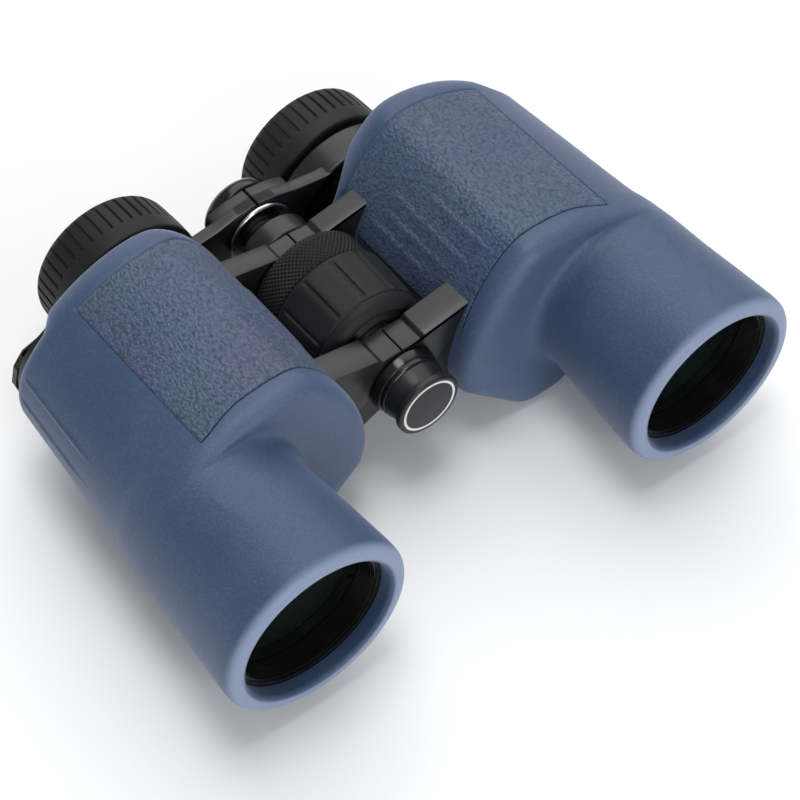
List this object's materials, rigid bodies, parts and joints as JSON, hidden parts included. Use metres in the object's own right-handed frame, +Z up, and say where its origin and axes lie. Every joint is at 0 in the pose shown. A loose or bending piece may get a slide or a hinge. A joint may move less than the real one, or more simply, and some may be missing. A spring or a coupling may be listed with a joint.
{
  "type": "binoculars",
  "caption": "Porro-prism binoculars with rubber armour, centre focus wheel, folding hinge, twist-up eyecups and a capped tripod socket.",
  "frame": {"origin": "bottom centre of the bounding box, on the surface that the housings rest on", "axes": "+X across the object to the user's left half, -Y towards what is looked at, +Z up"},
  "size_m": [0.1794, 0.1386, 0.0649],
  "materials": {
    "armour": "moulded blue rubber, fine matte",
    "grip": "pebble-grained blue rubber",
    "casting": "die-cast alloy, sprayed satin black",
    "black_metal": "black anodised",
    "coated_glass": "green anti-reflection coating",
    "prism_glass": "polished",
    "bare_alloy": "as milled",
    "spring_steel": "blank",
    "screw_steel": "blackened",
    "seal_rubber": "greased",
    "black_plastic": "satin",
    "eyecup_rubber": "matte",
    "wheel_rubber": "matte",
    "bright_ring": "polished",
    "pale_ring": "white print"
  },
  "bodies": {
    "left_half": {"left_body_shell": "casting", "left_armour": "armour", "left_grip_panel": "grip", "left_objective_cell": "black_metal", "left_objective_crown_lens": "coated_glass", "left_objective_flint_lens": "coated_glass", "left_retaining_ring": "black_metal", "left_prism_shelf": "bare_alloy", "left_rear_prism": "prism_glass", "left_front_prism": "prism_glass", "left_prism_clips": "spring_steel", "left_rear_cover": "casting", "left_cover_screws": "screw_steel", "left_barrel_ring_seal": "seal_rubber", "left_strap_lug": "black_plastic", "front_hinge_pin": "casting", "rear_hinge_tube": "casting", "thrust_washers": "bare_alloy"},
    "right_half": {"right_body_shell": "casting", "right_armour": "armour", "right_grip_panel": "grip", "right_objective_cell": "black_metal", "right_objective_crown_lens": "coated_glass", "right_objective_flint_lens": "coated_glass", "right_retaining_ring": "black_metal", "right_prism_shelf": "bare_alloy", "right_rear_prism": "prism_glass", "right_front_prism": "prism_glass", "right_prism_clips": "spring_steel", "right_rear_cover": "casting", "right_cover_screws": "screw_steel", "right_barrel_ring_seal": "seal_rubber", "right_strap_lug": "black_plastic"},
    "focus_wheel": {"focus_wheel_core": "black_metal", "focus_wheel_grip": "wheel_rubber", "focus_wheel_knurl": "wheel_rubber"},
    "left_bridge": {"left_bridge_arm": "casting", "focus_screw": "screw_steel", "bridge_collar": "bright_ring", "bridge_end_cap": "black_plastic", "left_eyepiece_barrel": "black_metal", "left_field_lens": "coated_glass", "left_field_stop": "black_metal", "left_eye_lens": "coated_glass"},
    "right_bridge": {"right_bridge_arm": "casting"},
    "dioptre_ring": {"right_dioptre_ring": "casting"},
    "right_eyepiece": {"right_eyepiece_barrel": "black_metal", "right_field_lens": "coated_glass", "right_field_stop": "black_metal", "right_eye_lens": "coated_glass"},
    "left_eyecup": {"left_eyecup": "eyecup_rubber", "left_eyecup_sleeve": "black_plastic"},
    "right_eyecup": {"right_eyecup": "eyecup_rubber", "right_eyecup_sleeve": "black_plastic"},
    "tripod_cap": {"tripod_cap": "black_plastic", "cap_ring": "pale_ring"}
  },
  "joints": [
    {"name": "fold", "type": "hinge", "parent": "left_half", "child": "right_half", "pos_m": [0, -0.0153, 0.0334], "axis": [0, -1, 0], "range_deg": [0, 38]},
    {"name": "focus_wheel_turn", "type": "hinge", "parent": "left_half", "child": "focus_wheel", "pos_m": [0, 0.0057, 0.0334], "axis": [0, 1, 0], "range_deg": [-180.2, 240.2]},
    {"name": "bridge_travel", "type": "slide", "parent": "left_half", "child": "left_bridge", "axis": [0, 1, 0], "range_m": [-0.003, 0.004]},
    {"name": "bridge_fold", "type": "hinge", "parent": "left_bridge", "child": "right_bridge", "pos_m": [0, 0.0447, 0.0334], "axis": [0, -1, 0], "range_deg": [0, 38]},
    {"name": "dioptre_turn", "type": "hinge", "parent": "right_bridge", "child": "dioptre_ring", "pos_m": [-0.03344, 0.0497, 0.022], "axis": [0, 1, 0], "range_deg": [-45.1, 45.1]},
    {"name": "dioptre_travel", "type": "slide", "parent": "right_bridge", "child": "right_eyepiece", "axis": [0, 1, 0], "range_m": [-0.0012, 0.0012]},
    {"name": "left_eyecup_travel", "type": "slide", "parent": "left_bridge", "child": "left_eyecup", "axis": [0, 1, 0], "range_m": [0, 0.007]},
    {"name": "right_eyecup_travel", "type": "slide", "parent": "right_eyepiece", "child": "right_eyecup", "axis": [0, 1, 0], "range_m": [0, 0.007]},
    {"name": "tripod_cap_travel", "type": "slide", "parent": "left_half", "child": "tripod_cap", "axis": [0, -1, 0], "range_m": [0, 0.012]}
  ],
  "couplings": [
    {"joint": "focus_wheel_turn", "follows": "bridge_travel", "rad_per_m": 1047.2},
    {"joint": "bridge_fold", "follows": "fold", "ratio": 1},
    {"joint": "dioptre_turn", "follows": "dioptre_travel", "rad_per_m": 654.5}
  ]
}
